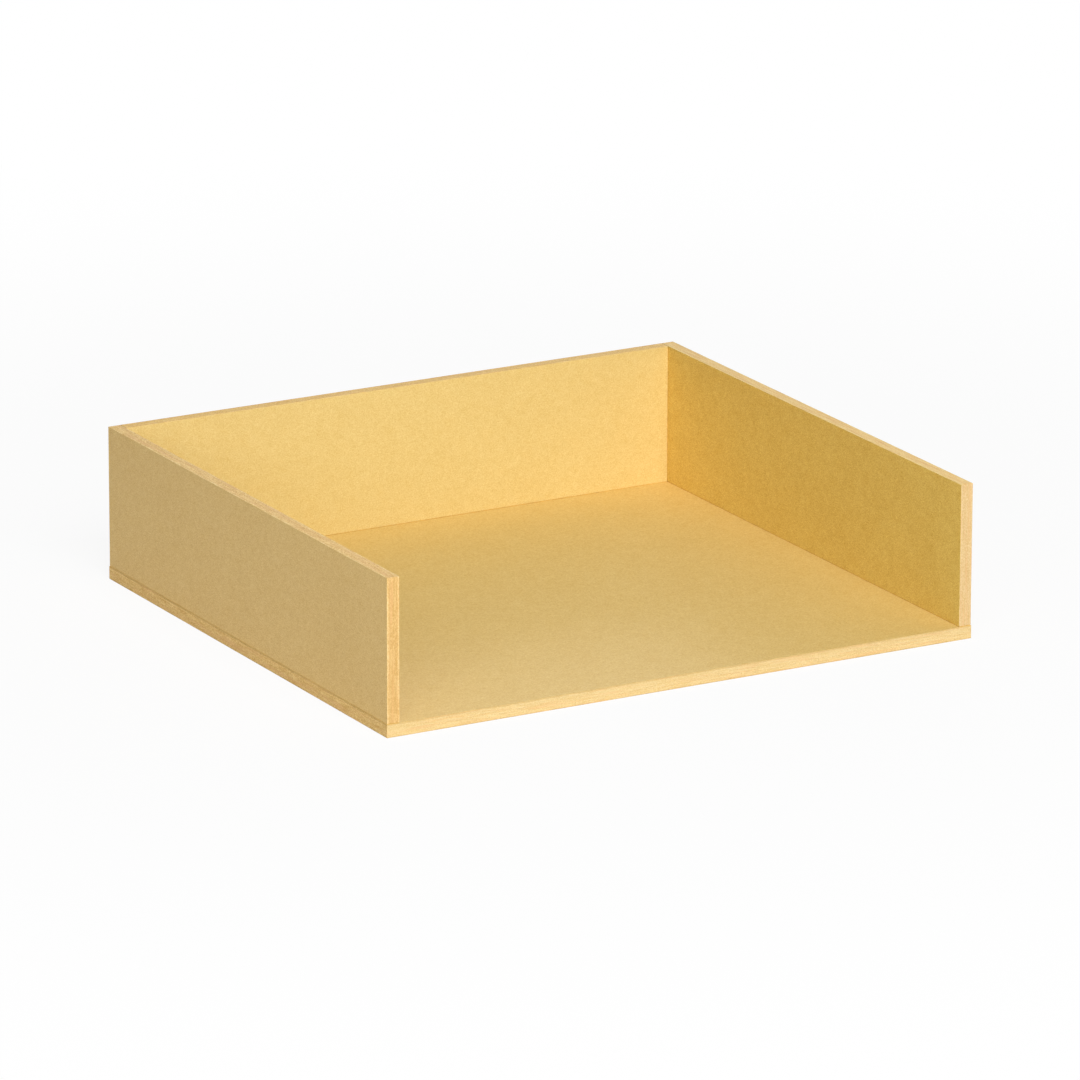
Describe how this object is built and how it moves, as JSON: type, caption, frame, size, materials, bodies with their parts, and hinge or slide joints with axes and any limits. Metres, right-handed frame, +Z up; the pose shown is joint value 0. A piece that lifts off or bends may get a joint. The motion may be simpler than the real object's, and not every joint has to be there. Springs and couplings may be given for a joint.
{
  "type": "letter tray",
  "caption": "Open-fronted tray of yellow dyed fibreboard, with a flat base and low side and back walls, for holding papers or small parts on a desk or shelf.",
  "frame": {"origin": "centre of the footprint on the underside of the base panel", "axes": "+X across the width to the right seen from the open front, -Y out of the open front, +Y towards the back panel, +Z up"},
  "size_m": [0.39, 0.35, 0.095],
  "materials": {
    "fibreboard": "matt, dyed through, sanded edges",
    "glue": "dried wood glue",
    "beech": "plain fluted dowel"
  },
  "bodies": {
    "root": {"base_panel": "fibreboard", "left_side_panel": "fibreboard", "right_side_panel": "fibreboard", "back_panel": "fibreboard", "left_side_glue_line": "glue", "right_side_glue_line": "glue", "back_glue_line": "glue", "left_corner_glue_line": "glue", "right_corner_glue_line": "glue", "left_side_dowel_1": "beech", "left_side_dowel_2": "beech", "left_side_dowel_3": "beech", "left_side_dowel_4": "beech", "right_side_dowel_1": "beech", "right_side_dowel_2": "beech", "right_side_dowel_3": "beech", "right_side_dowel_4": "beech", "back_dowel_1": "beech", "back_dowel_2": "beech", "back_dowel_3": "beech", "back_dowel_4": "beech", "left_corner_dowel_1": "beech", "left_corner_dowel_2": "beech", "right_corner_dowel_1": "beech", "right_corner_dowel_2": "beech"}
  },
  "joints": []
}
